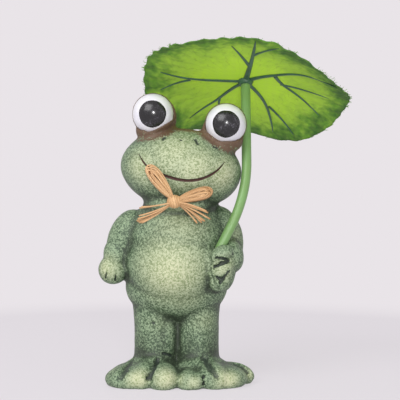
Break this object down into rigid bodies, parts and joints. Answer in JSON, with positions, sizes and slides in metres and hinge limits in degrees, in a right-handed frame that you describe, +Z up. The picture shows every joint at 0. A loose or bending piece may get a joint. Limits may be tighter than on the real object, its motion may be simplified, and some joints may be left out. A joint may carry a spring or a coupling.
{
  "type": "frog figurine",
  "caption": "Standing ceramic frog figurine that holds an artificial leaf on a stem over its head as an umbrella, with a raffia bow at its neck.",
  "frame": {"origin": "on the flat sole, midway between the two legs, on the floor plane", "axes": "+Z up along the figure's height, -Y the way the frog faces, +X to the viewer's right, the side of the hand that holds the stem"},
  "size_m": [0.1311, 0.0998, 0.1761],
  "materials": {
    "glazed_earthenware": "matt crackled glaze over slip-cast earthenware, green rubbed to yellow-green on the high places",
    "white_glaze": "glossy white glaze",
    "black_enamel": "glossy black enamel",
    "stem_polyethylene": "moulded polyethylene with a soft sheen",
    "stem_wire_steel": "drawn wire",
    "leaf_fabric": "printed stiffened polyester cloth",
    "rib_polyethylene": "moulded polyethylene",
    "raffia": null,
    "hot_melt_glue": "cloudy hot-melt glue"
  },
  "bodies": {
    "figure": {"body_casting": "glazed_earthenware", "eyeball_right": "white_glaze", "eyeball_left": "white_glaze", "pupil_right": "black_enamel", "pupil_left": "black_enamel", "bow_strand_1": "raffia", "bow_strand_2": "raffia", "bow_strand_3": "raffia", "bow_strand_4": "raffia", "bow_strand_5": "raffia", "bow_knot": "raffia", "bow_glue": "hot_melt_glue"},
    "stem": {"stem_tube": "stem_polyethylene", "stem_wire": "stem_wire_steel"},
    "leaf": {"leaf_blade": "leaf_fabric", "leaf_ribs": "rib_polyethylene", "leaf_pin": "rib_polyethylene"}
  },
  "joints": [
    {"name": "stem_lift", "type": "slide", "parent": "figure", "child": "stem", "axis": [0.4489, 0.1878, 0.8736], "range_m": [0, 0.016]},
    {"name": "leaf_turn", "type": "hinge", "parent": "stem", "child": "leaf", "pos_m": [0.03625, 0.01524, 0.15382], "axis": [0, 0.4254, 0.905], "range_deg": [-105, 135]}
  ]
}
